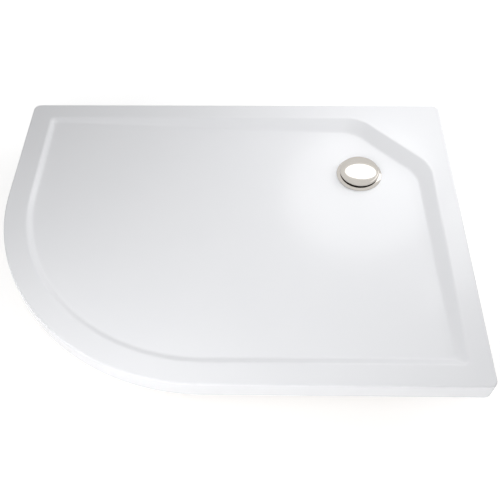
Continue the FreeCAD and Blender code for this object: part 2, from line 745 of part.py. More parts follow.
def spindle():
    """Threaded rod with a six-sided collar that stands on the foot."""
    low = FOOT_HEIGHT - FOOT_SOCKET_DEPTH + SLIDE_CLEARANCE
    high = boss_top - SPINDLE_TOP_INSET
    collar_low = FOOT_HEIGHT + SLIDE_CLEARANCE
    rod = turned([
        (0, low),
        (spindle_radius - SPINDLE_CHAMFER, low),
        (spindle_radius, low + SPINDLE_CHAMFER),
        (spindle_radius, high - SPINDLE_CHAMFER),
        (spindle_radius - SPINDLE_CHAMFER, high),
        (0, high),
    ])
    return rod.fuse(hexagon(SPANNER_FLATS, collar_low, collar_low + SPANNER_HEIGHT))


def foot():
    """Round ribbed foot with the socket that the spindle turns in."""
    radius = FOOT_DIAMETER / 2
    neck = FOOT_NECK_DIAMETER / 2
    base = upright(radius, 0, FOOT_BASE)
    base = base.makeFillet(FOOT_EDGE_ROUND, ring_edges(base, [(radius, FOOT_BASE)]))
    rib = Part.Face(Part.makePolygon([
        Vector(neck - FOOT_RIB_THICKNESS, -FOOT_RIB_THICKNESS / 2, FOOT_BASE / 2),
        Vector(radius - FOOT_BASE, -FOOT_RIB_THICKNESS / 2, FOOT_BASE / 2),
        Vector(radius - FOOT_BASE, -FOOT_RIB_THICKNESS / 2, FOOT_BASE),
        Vector(neck, -FOOT_RIB_THICKNESS / 2, FOOT_HEIGHT - FOOT_BASE / 2),
        Vector(neck - FOOT_RIB_THICKNESS, -FOOT_RIB_THICKNESS / 2, FOOT_HEIGHT - FOOT_BASE / 2),
        Vector(neck - FOOT_RIB_THICKNESS, -FOOT_RIB_THICKNESS / 2, FOOT_BASE / 2),
    ])).extrude(Vector(0, FOOT_RIB_THICKNESS, 0))
    body = base.fuse([upright(neck, 0, FOOT_HEIGHT)] + spread(rib, FOOT_RIBS))
    socket = upright(thread_bore, FOOT_HEIGHT - FOOT_SOCKET_DEPTH, FOOT_HEIGHT + OVERCUT)
    return body.cut(socket).removeSplitter()


def lock_nut():
    """Nut on the spindle, tight against the boss of the plate."""
    nut = hexagon(LOCK_NUT_FLATS, boss_low - LOCK_NUT_HEIGHT, boss_low)
    return nut.cut(upright(thread_bore, boss_low - LOCK_NUT_HEIGHT - OVERCUT, boss_low + OVERCUT))


def plate_screw():
    """Round-headed wood screw, driven up through the plate into the board."""
    head_high = board_low - PLATE_THICKNESS
    head_low = head_high - SCREW_HEAD_HEIGHT
    tip = head_high + SCREW_LENGTH
    head_radius = SCREW_HEAD_DIAMETER / 2
    shank_radius = SCREW_DIAMETER / 2
    head = upright(head_radius, head_low, head_high)
    head = head.makeFillet(SCREW_HEAD_ROUND, ring_edges(head, [(head_radius, head_low)]))
    shank = upright(shank_radius, head_high, tip - SCREW_POINT)
    point = Part.makeCone(shank_radius, shank_radius / 8, SCREW_POINT, Vector(0, 0, tip - SCREW_POINT))
    arm = Part.makeBox(
        head_radius, SCREW_RECESS, SCREW_RECESS * 2,
        Vector(-head_radius / 2, -SCREW_RECESS / 2, head_low - SCREW_RECESS))
    return head.fuse([shank, point]).cut(spread(arm, 4)[:2]).removeSplitter()


def group(shape, places):
    """Separate copies of one solid at every place."""
    return Part.makeCompound([shape.translated(Vector(x, y, 0)) for x, y in places])


def build():
    """Every piece of the assembly by name."""
    pieces = {
        "tray_skin": tray_skin(),
        "resin_backing": resin_backing(),
        "base_board": base_board(),
        "waste_flange": waste_flange(),
        "flange_gasket": flange_gasket(),
        "trap_gasket": trap_gasket(),
        "trap_body": trap_body(),
        "dip_tube": dip_tube(),
        "dip_tube_seal": dip_tube_seal(),
        "strainer": strainer(),
        "dome_cover": dome_cover(),
        "cover_stem": cover_stem(),
        "outlet_seal": outlet_seal(),
        "outlet_slip_ring": outlet_slip_ring(),
        "outlet_nut": outlet_nut(),
        "outlet_pipe": outlet_pipe(),
    }
    for name, (x, y) in leg_places().items():
        place = Vector(x, y, 0)
        pieces[name + "_leg_plate"] = leg_plate().translated(place)
        pieces[name + "_spindle"] = spindle().translated(place)
        pieces[name + "_foot"] = foot().translated(place)
    pieces["lock_nuts"] = group(lock_nut(), leg_places().values())
    pieces["plate_screws"] = group(plate_screw(), screw_places())
    return pieces


os.makedirs("parts", exist_ok=True)
for piece_name, piece in build().items():
    piece.exportStep(os.path.join("parts", piece_name + ".step"))
    print(piece_name, len(piece.Solids), "solid", round(piece.Volume / 1000, 1), "cm3", piece.isValid())
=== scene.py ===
import json
import math
import bmesh
import bpy
from mathutils import Matrix, Vector

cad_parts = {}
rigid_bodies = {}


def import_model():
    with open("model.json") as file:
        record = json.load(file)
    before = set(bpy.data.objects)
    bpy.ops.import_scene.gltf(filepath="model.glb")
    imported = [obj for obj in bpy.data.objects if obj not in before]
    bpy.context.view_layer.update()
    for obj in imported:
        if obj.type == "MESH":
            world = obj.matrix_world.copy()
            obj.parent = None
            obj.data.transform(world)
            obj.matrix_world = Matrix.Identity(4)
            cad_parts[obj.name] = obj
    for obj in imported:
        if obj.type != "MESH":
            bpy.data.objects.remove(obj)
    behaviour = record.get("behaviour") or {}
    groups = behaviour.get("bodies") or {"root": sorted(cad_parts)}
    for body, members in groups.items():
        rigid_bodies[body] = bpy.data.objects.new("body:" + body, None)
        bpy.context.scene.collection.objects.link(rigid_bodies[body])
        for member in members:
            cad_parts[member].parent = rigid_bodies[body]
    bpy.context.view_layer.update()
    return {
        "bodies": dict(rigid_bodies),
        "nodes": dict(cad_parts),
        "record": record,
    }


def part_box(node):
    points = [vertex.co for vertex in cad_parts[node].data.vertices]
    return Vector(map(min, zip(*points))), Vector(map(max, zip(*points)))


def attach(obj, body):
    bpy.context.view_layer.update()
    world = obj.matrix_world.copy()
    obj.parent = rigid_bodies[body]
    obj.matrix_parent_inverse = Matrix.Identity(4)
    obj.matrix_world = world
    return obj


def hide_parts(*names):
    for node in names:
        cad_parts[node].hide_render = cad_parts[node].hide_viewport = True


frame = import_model()

# White offset-quadrant shower tray with a chrome dome waste, a trap and adjustable legs.
# Pieces are modelled in millimetres, in the frame of the solids, and scaled to metres at the end.
METRES = 0.001
MERGE_DISTANCE = 0.001
SHARP_ANGLE, THREAD_SHARP_ANGLE = 30, 40

# Tray shell, seen from above
TRAY_X, TRAY_Y = 600.0, 450.0
BEND_RADIUS = 550.0
CORNER_RADIUS = 20.0
RIM_WIDTH, LEFT_RIM_WIDTH = 55.0, 60.0
DRAIN_CORNER_CUT = 183.0
BASIN_CORNER_REACH = 13.55
DRAIN_CORNER_REACH = 35.7
BEND_STEPS = 96
CORNER_STEPS = 10
SIDE_CUTS = 47
SHORTEST_SIDE = 60.0

# Tray shell in section
SKIRT_LOW, RIM_HEIGHT = 100.5, 152.5
EDGE_ROUND, EDGE_STEPS = 5.0, 6
RIM_STRIP = 1.0
SKIN_THICKNESS = 4.0
SEAT_HEIGHT, SEAT_RADIUS = 124.5, 68.0
WASTE_HOLE_RADIUS = 45.0
FLOOR_FALL = 1.0 / 44.0
WALL_SLOPE = math.tan(math.radians(38.0))
RIM_BLEND, FLOOR_BLEND = 2.89, 3.37
WALL_START, WALL_END, WALL_STEP = -6.0, 42.0, 1.2
FLOOR_STEPS = 6

# Chrome ring of the waste, with the spigot below it
WASTE = Vector((350.0, 200.0, 0.0))
TURN_STEPS, ROUND_STEPS = 128, 6
RING_RADIUS, RING_SHOULDER, RING_LIP = 62.0, 53.0, 47.0
RING_LOW, RING_EDGE, RING_TOP = SEAT_HEIGHT + 0.4, SEAT_HEIGHT + 1.8, SEAT_HEIGHT + 4.8
RING_UNDER, RING_FLANGE = SEAT_HEIGHT + 1.5, 60.0
SPIGOT_RADIUS, SPIGOT_BORE = 42.5, 38.5
FUNNEL_LOW, SPIGOT_LOW = SEAT_HEIGHT - 9.0, 99.2
RING_FOOT_ROUND, RING_EDGE_ROUND, RING_SHOULDER_ROUND, RING_LIP_ROUND = 0.3, 0.7, 1.0, 1.1
FUNNEL_ROUND, SPIGOT_ROUND, RING_UNDER_ROUND = 1.0, 0.4, 0.2

# Chrome dome over the waste
DOME_RADIUS, DOME_WALL = 54.0, 1.6
DOME_LOW, DOME_EDGE, DOME_CROWN = SEAT_HEIGHT + 11.0, SEAT_HEIGHT + 16.0, 4.0
DOME_ROUND, DOME_INNER_ROUND, DOME_LIP_ROUND = 3.45, 2.05, 0.4
DOME_BOSS_RADIUS, DOME_BOSS_LENGTH, DOME_BOSS_ROUND = 5.0, 8.0, 0.5
CROWN_STEPS = 12

# Leg spindles: a 12 mm thread above a six-sided collar that stands on the foot
THREAD_PITCH, THREAD_STEPS = 1.75, 20
THREAD_CREST, THREAD_ROOT = 6.0, 5.15
THREAD_FLAT, THREAD_SINK = 0.2, 0.4
COLLAR_LOW, COLLAR_HIGH, COLLAR_FLATS = 28.3, 37.3, 17.0
COLLAR_SIDES, COLLAR_ROUND = 6, 0.6
ROD_SIDES, ROD_ROUND, ROD_OVERLAP = 32, 0.8, 1.0
ROD_END_STEPS = 2


def new_object(bm, name):
    """Object at the origin from a mesh in millimetres."""
    bmesh.ops.scale(bm, vec=(METRES, METRES, METRES), verts=bm.verts)
    mesh = bpy.data.meshes.new(name)
    bm.to_mesh(mesh)
    bm.free()
    piece = bpy.data.objects.new(name, mesh)
    bpy.context.scene.collection.objects.link(piece)
    return piece


def finish_piece(piece, body, node, slot, sharp_angle):
    """Smooth shading, and the place of the piece among the solids."""
    for polygon in piece.data.polygons:
        polygon.use_smooth = True
    piece.data.set_sharp_from_angle(angle=math.radians(sharp_angle))
    piece.data.materials.append(finishes[slot])
    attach(piece, body)
    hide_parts(node)
    return piece


def smooth_least(a, b, width):
    """Lesser of two heights, blended over a width."""
    return min(a, b) - max(width - abs(a - b), 0) ** 2 / (4 * width)


def smooth_most(a, b, width):
    """Greater of two heights, blended over a width."""
    return max(a, b) + max(width - abs(a - b), 0) ** 2 / (4 * width)


def floor_height(x, y):
    """Height of the sloping floor, which falls to the flat seat of the waste."""
    reach = math.hypot(x - WASTE.x, y - WASTE.y)
    return SEAT_HEIGHT + max(reach - SEAT_RADIUS, 0) * FLOOR_FALL


def basin_height(margin, x, y):
    """Height of the rim, wall and floor at a distance inside the edge of the basin."""
    wall = smooth_least(RIM_HEIGHT, RIM_HEIGHT - margin * WALL_SLOPE, RIM_BLEND)
    return smooth_most(wall, floor_height(x, y), FLOOR_BLEND)


def ring(bm, corners, rounds, height):
    """Closed ring of edges through the corners, each rounded in steps, with its sides divided."""
    older = set(bm.edges)
    points = [bm.verts.new((x, y, height)) for x, y in corners]
    bm.faces.new(points)
    for point, (reach, steps) in zip(points, rounds):
        bmesh.ops.bevel(
            bm, geom=[point], offset=reach, offset_type="OFFSET", segments=steps, profile=0.5,
            affect="VERTICES", material=-1)
    edges = [edge for edge in bm.edges if edge not in older]
    faces = {face for edge in edges for face in edge.link_faces}
    bmesh.ops.delete(bm, geom=list(faces), context="FACES_ONLY")
    sides = [edge for edge in edges if edge.calc_length() > SHORTEST_SIDE]
    bmesh.ops.subdivide_edges(bm, edges=sides, cuts=SIDE_CUTS)
    return [edge for edge in bm.edges if edge not in older]


def ring_points(edges):
    """Points of a ring of edges."""
    return {point for edge in edges for point in edge.verts}


def outer_ring(bm, margin, height):
    """Ring round the tray, moved in by the margin."""
    x, y = TRAY_X - margin, TRAY_Y - margin
    corners = [(-x, -y), (x, -y), (x, y), (-x, y)]
    small = (CORNER_RADIUS - margin, CORNER_STEPS)
    return ring(bm, corners, [(BEND_RADIUS - margin, BEND_STEPS), small, small, small], height)


def basin_ring(bm, margin):
    """Ring round the basin, moved in by the margin, with the corner behind the waste cut off."""
    left, right = LEFT_RIM_WIDTH + margin - TRAY_X, TRAY_X - RIM_WIDTH - margin
    back = TRAY_Y - RIM_WIDTH - margin
    cut = DRAIN_CORNER_CUT - margin * (2 - math.sqrt(2))
    corners = [(left, -back), (right, -back), (right, back - cut), (right - cut, back), (left, back)]
    square = (BASIN_CORNER_REACH, CORNER_STEPS)
    drain = (DRAIN_CORNER_REACH, CORNER_STEPS)
    bend = (BEND_RADIUS - RIM_WIDTH - margin, BEND_STEPS)
    edges = ring(bm, corners, [bend, square, drain, drain, square], RIM_HEIGHT)
    for point in ring_points(edges):
        point.co.z = basin_height(margin, point.co.x, point.co.y)
    return edges


def next_ring(bm, edges, radius_at):
    """Extrudes a ring and moves the new one over the floor, along lines to the axis of the waste."""
    grown = bmesh.ops.extrude_edge_only(bm, edges=edges)["geom"]
    for point in (item for item in grown if isinstance(item, bmesh.types.BMVert)):
        outward = Vector((point.co.x - WASTE.x, point.co.y - WASTE.y, 0))
        place = WASTE + outward.normalized() * radius_at(outward.length)
        point.co = (place.x, place.y, floor_height(place.x, place.y))
    return [item for item in grown if isinstance(item, bmesh.types.BMEdge) and item.is_boundary]


def tray_shell():
    """Moulded shell: skirt, rounded edge, flat rim, sloping walls and a floor that falls to the waste."""
    bm = bmesh.new()
    section = [(0.0, SKIRT_LOW)]
    for step in range(EDGE_STEPS + 1):
        turn = math.radians(90.0 * step / EDGE_STEPS)
        section.append((EDGE_ROUND * (1 - math.cos(turn)), RIM_HEIGHT - EDGE_ROUND * (1 - math.sin(turn))))
    section.append((EDGE_ROUND + RIM_STRIP, RIM_HEIGHT))
    last = None
    for margin, height in section:
        edges = outer_ring(bm, margin, height)
        if last:
            bmesh.ops.bridge_loops(bm, edges=last + edges)
        last = edges
    rim_edge = last
    last = None
    for step in range(round((WALL_END - WALL_START) / WALL_STEP) + 1):
        edges = basin_ring(bm, WALL_START + step * WALL_STEP)
        if last:
            bmesh.ops.bridge_loops(bm, edges=last + edges)
        else:
            bmesh.ops.triangle_fill(bm, edges=rim_edge + edges, use_beauty=True)
        last = edges
    for step in range(FLOOR_STEPS):
        share = 1 / (FLOOR_STEPS - step)
        last = next_ring(bm, last, lambda reach: reach + (SEAT_RADIUS - reach) * share)
    next_ring(bm, last, lambda reach: WASTE_HOLE_RADIUS)
    bmesh.ops.remove_doubles(bm, verts=bm.verts, dist=MERGE_DISTANCE)
    bmesh.ops.recalc_face_normals(bm, faces=bm.faces)
    if max(bm.faces, key=lambda face: face.calc_area()).normal.z < 0:
        bmesh.ops.reverse_faces(bm, faces=bm.faces)
    shell = new_object(bm, "tray_shell")
    wall = shell.modifiers.new("wall", "SOLIDIFY")
    wall.thickness = SKIN_THICKNESS * METRES
    wall.offset = -1
    wall.use_even_offset = True
    bpy.context.view_layer.update()
    shell.data = bpy.data.meshes.new_from_object(shell.evaluated_get(bpy.context.evaluated_depsgraph_get()))
    shell.modifiers.clear()
    return finish_piece(shell, "tray", "tray_skin", "white_acrylic", SHARP_ANGLE)


def turned(name, outline, axis):
    """Closed solid of revolution about an upright axis, from points of radius, height and rounding."""
    bm = bmesh.new()
    points = [bm.verts.new((radius, 0, height)) for radius, height, reach in outline]
    bm.faces.new(points)
    for point, (radius, height, reach) in zip(points, outline):
        if reach:
            bmesh.ops.bevel(
                bm, geom=[point], offset=reach, offset_type="OFFSET", segments=ROUND_STEPS, profile=0.5,
                affect="VERTICES", material=-1)
    bmesh.ops.delete(bm, geom=list(bm.faces), context="FACES_ONLY")
    profile = bm.verts[:] + bm.edges[:]
    bmesh.ops.spin(
        bm, geom=profile, cent=(0, 0, 0), axis=(0, 0, 1), angle=math.tau, steps=TURN_STEPS, use_merge=True)
    bmesh.ops.remove_doubles(bm, verts=bm.verts, dist=MERGE_DISTANCE)
    bmesh.ops.recalc_face_normals(bm, faces=bm.faces)
    bmesh.ops.translate(bm, vec=axis, verts=bm.verts)
    return new_object(bm, name)


def waste_ring():
    """Chrome ring on the floor of the tray, with its funnel and the spigot below."""
    outline = [
        (RING_RADIUS, RING_LOW, RING_FOOT_ROUND), (RING_RADIUS, RING_EDGE, RING_EDGE_ROUND),
        (RING_SHOULDER, RING_TOP, RING_SHOULDER_ROUND), (RING_LIP, RING_TOP, RING_LIP_ROUND),
        (SPIGOT_BORE, FUNNEL_LOW, FUNNEL_ROUND), (SPIGOT_BORE, SPIGOT_LOW, SPIGOT_ROUND),
        (SPIGOT_RADIUS, SPIGOT_LOW, SPIGOT_ROUND), (SPIGOT_RADIUS, RING_UNDER, 0),
        (RING_FLANGE, RING_UNDER, 0), (RING_FLANGE, RING_LOW, RING_UNDER_ROUND),
    ]
    piece = turned("waste_ring", outline, WASTE)
    return finish_piece(piece, "tray", "waste_flange", "chrome", SHARP_ANGLE)


def crown(inset):
    """Points of the dome's crown, from its middle to its edge."""
    radius, edge = DOME_RADIUS - inset, DOME_EDGE - inset
    shares = [step / CROWN_STEPS for step in range(CROWN_STEPS + 1)]
    return [(radius * share, edge + DOME_CROWN * (1 - share ** 2), 0) for share in shares]


def waste_dome():
    """Chrome cover: low crown, rounded rim and the boss for its stem."""
    outer, inner = crown(0), crown(DOME_WALL)
    boss_top = inner[0][1]
    boss_low = boss_top - DOME_BOSS_LENGTH
    outline = outer[:-1] + [
        (DOME_RADIUS, DOME_EDGE, DOME_ROUND), (DOME_RADIUS, DOME_LOW, DOME_LIP_ROUND),
        (DOME_RADIUS - DOME_WALL, DOME_LOW, DOME_LIP_ROUND),
        (DOME_RADIUS - DOME_WALL, DOME_EDGE - DOME_WALL, DOME_INNER_ROUND),
    ] + inner[-2:1:-1] + [
        (DOME_BOSS_RADIUS, boss_top, 0), (DOME_BOSS_RADIUS, boss_low, DOME_BOSS_ROUND), (0, boss_low, 0),
    ]
    piece = turned("waste_dome", outline, WASTE)
    return finish_piece(piece, "cover", "dome_cover", "chrome", SHARP_ANGLE)


def rod(bm, radius, low, high, segments, rounding):
    """Upright round or many-sided bar with rounded ends."""
    points = bmesh.ops.create_cone(
        bm, cap_ends=True, segments=segments, radius1=radius, radius2=radius, depth=high - low,
        matrix=Matrix.Translation((0, 0, (high + low) / 2)))["verts"]
    edges = {edge for point in points for edge in point.link_edges}
    level = [edge for edge in edges if abs(edge.verts[0].co.z - edge.verts[1].co.z) < rounding]
    bmesh.ops.bevel(
        bm, geom=level, offset=rounding, offset_type="OFFSET", segments=ROD_END_STEPS, profile=0.5,
        affect="EDGES", material=-1)


def spindle(leg):
    """Rod with a rolled thread above a six-sided collar and a plain end that turns in the foot."""
    low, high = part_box(leg + "_spindle")
    axis = Vector(((low.x + high.x) / 2, (low.y + high.y) / 2, 0)) / METRES
    bottom, top = low.z / METRES, high.z / METRES
    foot_of_thread = COLLAR_HIGH - THREAD_PITCH
    sunk = THREAD_ROOT - THREAD_SINK
    bm = bmesh.new()
    tooth = [
        bm.verts.new((sunk, 0, foot_of_thread)),
        bm.verts.new((THREAD_CREST, 0, foot_of_thread + (THREAD_PITCH - THREAD_FLAT) / 2)),
        bm.verts.new((THREAD_CREST, 0, foot_of_thread + (THREAD_PITCH + THREAD_FLAT) / 2)),
        bm.verts.new((sunk, 0, foot_of_thread + THREAD_PITCH - THREAD_FLAT)),
    ]
    start = bm.faces.new(tooth)
    turns = math.floor((top - COLLAR_HIGH) / THREAD_PITCH)
    bmesh.ops.spin(
        bm, geom=[start] + list(start.edges) + tooth, cent=(0, 0, 0), axis=(0, 0, 1), angle=math.tau * turns,
        dvec=(0, 0, THREAD_PITCH / THREAD_STEPS), steps=THREAD_STEPS * turns)
    rod(bm, THREAD_ROOT, COLLAR_LOW, top, ROD_SIDES, ROD_ROUND)
    rod(bm, THREAD_CREST, bottom, COLLAR_LOW + ROD_OVERLAP, ROD_SIDES, ROD_ROUND)
    rod(bm, COLLAR_FLATS / math.sqrt(3), COLLAR_LOW, COLLAR_HIGH, COLLAR_SIDES, COLLAR_ROUND)
    bmesh.ops.recalc_face_normals(bm, faces=bm.faces)
    bmesh.ops.translate(bm, vec=axis, verts=bm.verts)
    piece = new_object(bm, leg + "_threaded_spindle")
    return finish_piece(piece, "spindle_" + leg, leg + "_spindle", "zinc_steel", THREAD_SHARP_ANGLE)


def effect_group(name, inputs, outputs):
    """Empty node group with named sockets."""
    group = bpy.data.node_groups.new(name, "ShaderNodeTree")
    for kind, label, value in inputs:
        group.interface.new_socket(label, in_out="INPUT", socket_type=kind).default_value = value
    for kind, label in outputs:
        group.interface.new_socket(label, in_out="OUTPUT", socket_type=kind)
    return group


def add_node(tree, kind, **values):
    """Node of a kind, with its properties and the values of its sockets."""
    node = tree.nodes.new(kind)
    for key, value in values.items():
        if key in node.inputs.keys():
            node.inputs[key].default_value = value
        else:
            setattr(node, key, value)
    return node


def feed(tree, socket, value):
    """Gives an input a link or a plain value."""
    if isinstance(value, bpy.types.NodeSocket):
        tree.links.new(value, socket)
    else:
        socket.default_value = value


def object_place(tree):
    """Place in the coordinates of the object that has the material."""
    return add_node(tree, "ShaderNodeTexCoord").outputs["Object"]


def noise(tree, place, scale, detail=2.0):
    """Noise texture at a place."""
    texture = add_node(tree, "ShaderNodeTexNoise", Detail=detail)
    feed(tree, texture.inputs["Scale"], scale)
    tree.links.new(place, texture.inputs["Vector"])
    return texture.outputs["Fac"]


def stretched(tree, place, stretch, turn=0.0):
    """Place turned about the upright axis and stretched along each axis."""
    mapping = add_node(tree, "ShaderNodeMapping")
    mapping.inputs["Rotation"].default_value = (0, 0, turn)
    feed(tree, mapping.inputs["Scale"], stretch)
    tree.links.new(place, mapping.inputs["Vector"])
    return mapping.outputs["Vector"]


def blend_colours(tree, share, first, second):
    """Mixes two colours by a share."""
    mix = add_node(tree, "ShaderNodeMix", data_type="RGBA")
    tree.links.new(share, mix.inputs[0])
    feed(tree, mix.inputs[6], first)
    feed(tree, mix.inputs[7], second)
    return mix.outputs[2]


def remap(tree, value, low, high, to_low, to_high):
    """Maps a range of a value onto another range."""
    node = add_node(tree, "ShaderNodeMapRange")
    ends = (("Value", value), ("From Min", low), ("From Max", high), ("To Min", to_low), ("To Max", to_high))
    for label, end in ends:
        feed(tree, node.inputs[label], end)
    return node.outputs["Result"]


def sums(tree, operation, first, second):
    """Arithmetic on two values."""
    node = add_node(tree, "ShaderNodeMath", operation=operation)
    feed(tree, node.inputs[0], first)
    feed(tree, node.inputs[1], second)
    return node.outputs[0]


def uneven_finish_group():
    """Slow change of tone and gloss over a surface, and a fine grain in its height."""
    group = effect_group("uneven_finish", [
        ("NodeSocketColor", "Light", (0.8, 0.8, 0.8, 1)),
        ("NodeSocketColor", "Dark", (0.7, 0.7, 0.7, 1)),
        ("NodeSocketFloat", "Patch scale", 8.0),
        ("NodeSocketFloat", "Grain scale", 900.0),
        ("NodeSocketFloat", "Least roughness", 0.3),
        ("NodeSocketFloat", "Most roughness", 0.4),
    ], [("NodeSocketColor", "Color"), ("NodeSocketFloat", "Roughness"), ("NodeSocketFloat", "Height")])
    given = group.nodes.new("NodeGroupInput")
    result = group.nodes.new("NodeGroupOutput")
    place = object_place(group)
    patches = noise(group, place, given.outputs["Patch scale"], 4.0)
    grain = noise(group, place, given.outputs["Grain scale"], 2.0)
    share = remap(group, patches, 0.3, 0.7, 0.0, 1.0)
    colour = blend_colours(group, share, given.outputs["Light"], given.outputs["Dark"])
    gloss = remap(group, patches, 0.3, 0.7, given.outputs["Least roughness"], given.outputs["Most roughness"])
    group.links.new(colour, result.inputs["Color"])
    group.links.new(gloss, result.inputs["Roughness"])
    group.links.new(grain, result.inputs["Height"])
    return group


def drawn_lines_group():
    """Fine lines that run along a pipe or round a turned bar, as a height from 0 to 1."""
    group = effect_group(
        "drawn_lines", [("NodeSocketVector", "Stretch", (1, 1, 1))], [("NodeSocketFloat", "Height")])
    given = group.nodes.new("NodeGroupInput")
    result = group.nodes.new("NodeGroupOutput")
    place = object_place(group)
    lines = noise(group, stretched(group, place, given.outputs["Stretch"]), 1.0, 3.0)
    group.links.new(remap(group, lines, 0.35, 0.65, 0.0, 1.0), result.inputs["Height"])
    return group


uneven_finish = uneven_finish_group()
drawn_lines = drawn_lines_group()


def dress(material, colour, roughness, height, bump):
    """Feeds the surface of a material into its shader."""
    tree = material.node_tree
    shader = tree.nodes["Principled BSDF"]
    relief = add_node(tree, "ShaderNodeBump", Strength=bump[0], Distance=bump[1])
    tree.links.new(colour, shader.inputs["Base Color"])
    tree.links.new(roughness, shader.inputs["Roughness"])
    tree.links.new(height, relief.inputs["Height"])
    tree.links.new(relief.outputs["Normal"], shader.inputs["Normal"])


def new_material(name, shader_values):
    """Material whose shader has the given plain values."""
    material = bpy.data.materials.new(name)
    material.use_nodes = True
    shader = material.node_tree.nodes["Principled BSDF"]
    for label, value in shader_values.items():
        shader.inputs[label.replace("_", " ")].default_value = value
    return material


def finish(name, light, dark, roughness, patch_scale, grain_scale, bump, lines=None, **shader_values):
    """Material with the uneven finish, and with drawn lines where they have a stretch."""
    material = new_material(name, shader_values)
    tree = material.node_tree
    surface = add_node(tree, "ShaderNodeGroup", node_tree=uneven_finish)
    values = {
        "Light": (*light, 1), "Dark": (*dark, 1), "Patch scale": patch_scale, "Grain scale": grain_scale,
        "Least roughness": roughness[0], "Most roughness": roughness[1],
    }
    for label, value in values.items():
        surface.inputs[label].default_value = value
    height = surface.outputs["Height"]
    if lines:
        drawn = add_node(tree, "ShaderNodeGroup", node_tree=drawn_lines)
        drawn.inputs["Stretch"].default_value = lines
        height = sums(tree, "ADD", height, drawn.outputs["Height"])
    dress(material, surface.outputs["Color"], surface.outputs["Roughness"], height, bump)
    return material


def flakes(tree, place):
    """Tone of each flake of wood, and the height of the flakes."""
    cells = add_node(tree, "ShaderNodeTexVoronoi", Scale=1.0, Randomness=1.0)
    tree.links.new(place, cells.inputs["Vector"])
    tones = add_node(tree, "ShaderNodeSeparateColor")
    tree.links.new(cells.outputs["Color"], tones.inputs["Color"])
    return tones.outputs["Red"], cells.outputs["Distance"]


def chipboard():
    """Sealed chipboard: pressed flakes of two sizes, lying every way."""
    material = new_material("base_board", {})
    tree = material.node_tree
    place = object_place(tree)
    wavy = noise(tree, place, 25.0, 3.0)
    along, along_height = flakes(tree, stretched(tree, place, (90.0, 260.0, 260.0), 0.5))
    across, across_height = flakes(tree, stretched(tree, place, (420.0, 150.0, 420.0), -0.4))
    large = blend_colours(tree, along, (0.62, 0.46, 0.28, 1), (0.4, 0.26, 0.14, 1))
    small = blend_colours(tree, across, (0.68, 0.53, 0.34, 1), (0.33, 0.21, 0.11, 1))
    colour = blend_colours(tree, remap(tree, wavy, 0.42, 0.58, 0.0, 1.0), large, small)
    roughness = remap(tree, across, 0.0, 1.0, 0.62, 0.8)
    dress(material, colour, roughness, sums(tree, "ADD", along_height, across_height), (0.25, 0.0004))
    return material


def glass_resin():
    """Amber resin with chopped strands of glass showing through it."""
    material = new_material("backing_resin", {"IOR": 1.53})
    tree = material.node_tree
    place = object_place(tree)
    one_way = noise(tree, stretched(tree, place, (60.0, 1400.0, 300.0), 0.7), 1.0, 2.0)
    other_way = noise(tree, stretched(tree, place, (1300.0, 55.0, 300.0), 0.2), 1.0, 2.0)
    strands = remap(tree, sums(tree, "MAXIMUM", one_way, other_way), 0.55, 0.68, 0.0, 1.0)
    clouds = remap(tree, noise(tree, place, 14.0, 4.0), 0.3, 0.7, 0.0, 1.0)
    resin = blend_colours(tree, clouds, (0.66, 0.58, 0.4, 1), (0.54, 0.46, 0.29, 1))
    colour = blend_colours(tree, strands, resin, (0.76, 0.72, 0.6, 1))
    dress(material, colour, remap(tree, strands, 0.0, 1.0, 0.35, 0.6), strands, (0.5, 0.0006))
    return material


finishes = {
    "white_acrylic": finish(
        "white_acrylic", (0.875, 0.88, 0.9), (0.86, 0.866, 0.888), (0.13, 0.17), 5.0, 90.0, (0.05, 0.0002),
        IOR=1.49),
    "backing_resin": glass_resin(),
    "base_board": chipboard(),
    "chrome": finish(
        "chrome", (0.61, 0.58, 0.54), (0.58, 0.55, 0.51), (0.05, 0.09), 30.0, 200.0, (0.01, 0.0001),
        Metallic=1.0),
    "black_rubber": finish(
        "black_rubber", (0.03, 0.03, 0.03), (0.045, 0.045, 0.043), (0.6, 0.75), 60.0, 1500.0, (0.2, 0.0002)),
    "trap_plastic": finish(
        "trap_plastic", (0.84, 0.84, 0.83), (0.79, 0.79, 0.77), (0.3, 0.42), 25.0, 1400.0, (0.12, 0.0002)),
    "pipe_plastic": finish(
        "pipe_plastic", (0.6, 0.61, 0.62), (0.53, 0.54, 0.55), (0.32, 0.45), 30.0, 1200.0, (0.1, 0.0002),
        (900.0, 6.0, 900.0)),
    "insert_plastic": finish(
        "insert_plastic", (0.28, 0.3, 0.32), (0.23, 0.25, 0.27), (0.35, 0.5), 40.0, 1400.0, (0.12, 0.0002)),
    "zinc_steel": finish(
        "zinc_steel", (0.68, 0.69, 0.7), (0.6, 0.6, 0.56), (0.25, 0.42), 110.0, 1000.0, (0.1, 0.0002),
        (30.0, 30.0, 2400.0), Metallic=1.0),
    "leg_plastic": finish(
        "leg_plastic", (0.03, 0.03, 0.033), (0.05, 0.05, 0.054), (0.4, 0.55), 50.0, 1600.0, (0.25, 0.0003)),
}
for subpart in frame["record"]["subparts"]:
    surfaces = frame["nodes"][subpart["node"]].data.materials
    surfaces.clear()
    surfaces.append(finishes[subpart["material_slot"]])

tray_shell()
waste_ring()
waste_dome()
for spindle_body in frame["bodies"]:
    if spindle_body.startswith("spindle_"):
        spindle(spindle_body[len("spindle_"):])

# Camera at the photograph's place
CAMERA_PLACE = Vector((0.08082, -1.07763, 1.5179))
YAW, PITCH, ROLL = -0.029605, 0.94127, 0.017641
FOCAL_PIXELS, IMAGE_PIXELS = 673.54, 500.0
SENSOR_WIDTH = 36.0

